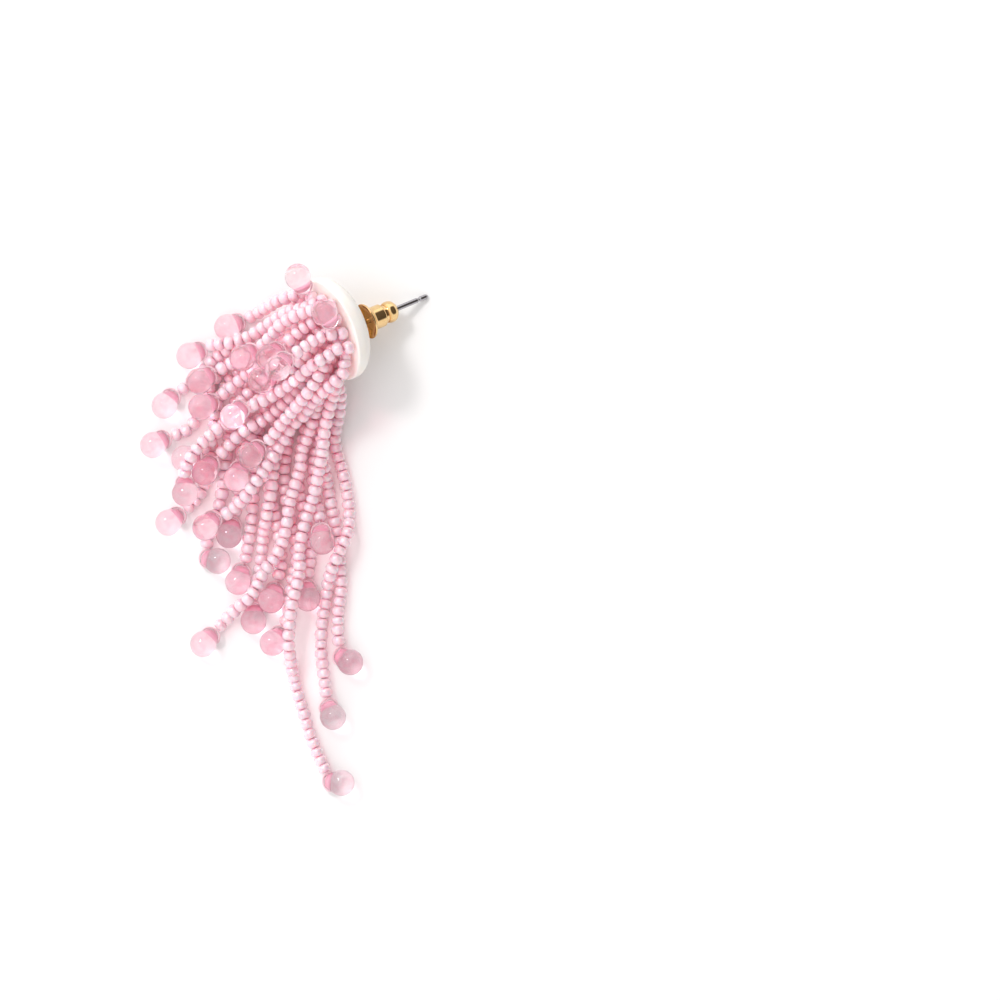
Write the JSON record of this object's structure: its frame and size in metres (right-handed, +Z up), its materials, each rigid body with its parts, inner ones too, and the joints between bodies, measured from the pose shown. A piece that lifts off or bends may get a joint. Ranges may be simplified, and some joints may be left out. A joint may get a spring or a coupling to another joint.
{
  "type": "tassel earring",
  "caption": "Stud earring with a domed round backing, an ear post with a sliding clutch, and a tassel of seed bead strings that end in drop beads, lying on a surface.",
  "frame": {"origin": "centre of the lying earring's footprint, on the surface it lies on", "axes": "+X to the right and +Y from the tassel's tip to its top as pictured from above, +Z up from the surface"},
  "size_m": [0.0417, 0.077, 0.0178],
  "materials": {
    "backing": "satin warm white resin",
    "ear_post": "drawn wire, polished",
    "clutch": "polished gold plate",
    "seed_beads": "pearly opaque glass",
    "drops": "clear glass lined with pink"
  },
  "bodies": {
    "earring": {"backing": "backing", "ear_post": "ear_post", "string_row_1": "seed_beads", "string_row_2": "seed_beads", "string_row_3": "seed_beads", "string_row_4": "seed_beads", "string_row_5": "seed_beads", "string_row_6": "seed_beads", "drop_01": "drops", "drop_02": "drops", "drop_03": "drops", "drop_04": "drops", "drop_05": "drops", "drop_06": "drops", "drop_07": "drops", "drop_08": "drops", "drop_09": "drops", "drop_10": "drops", "drop_11": "drops", "drop_12": "drops", "drop_13": "drops", "drop_14": "drops", "drop_15": "drops", "drop_16": "drops", "drop_17": "drops", "drop_18": "drops", "drop_19": "drops", "drop_20": "drops", "drop_21": "drops", "drop_22": "drops", "drop_23": "drops", "drop_24": "drops", "drop_25": "drops", "drop_26": "drops", "drop_27": "drops", "drop_28": "drops", "drop_29": "drops", "drop_30": "drops", "drop_31": "drops", "drop_32": "drops"},
    "clutch": {"clutch": "clutch"}
  },
  "joints": [
    {"name": "clutch_slide", "type": "slide", "parent": "earring", "child": "clutch", "axis": [0.8277, 0.3513, -0.4375], "range_m": [-0.0013, 0.0104]}
  ]
}
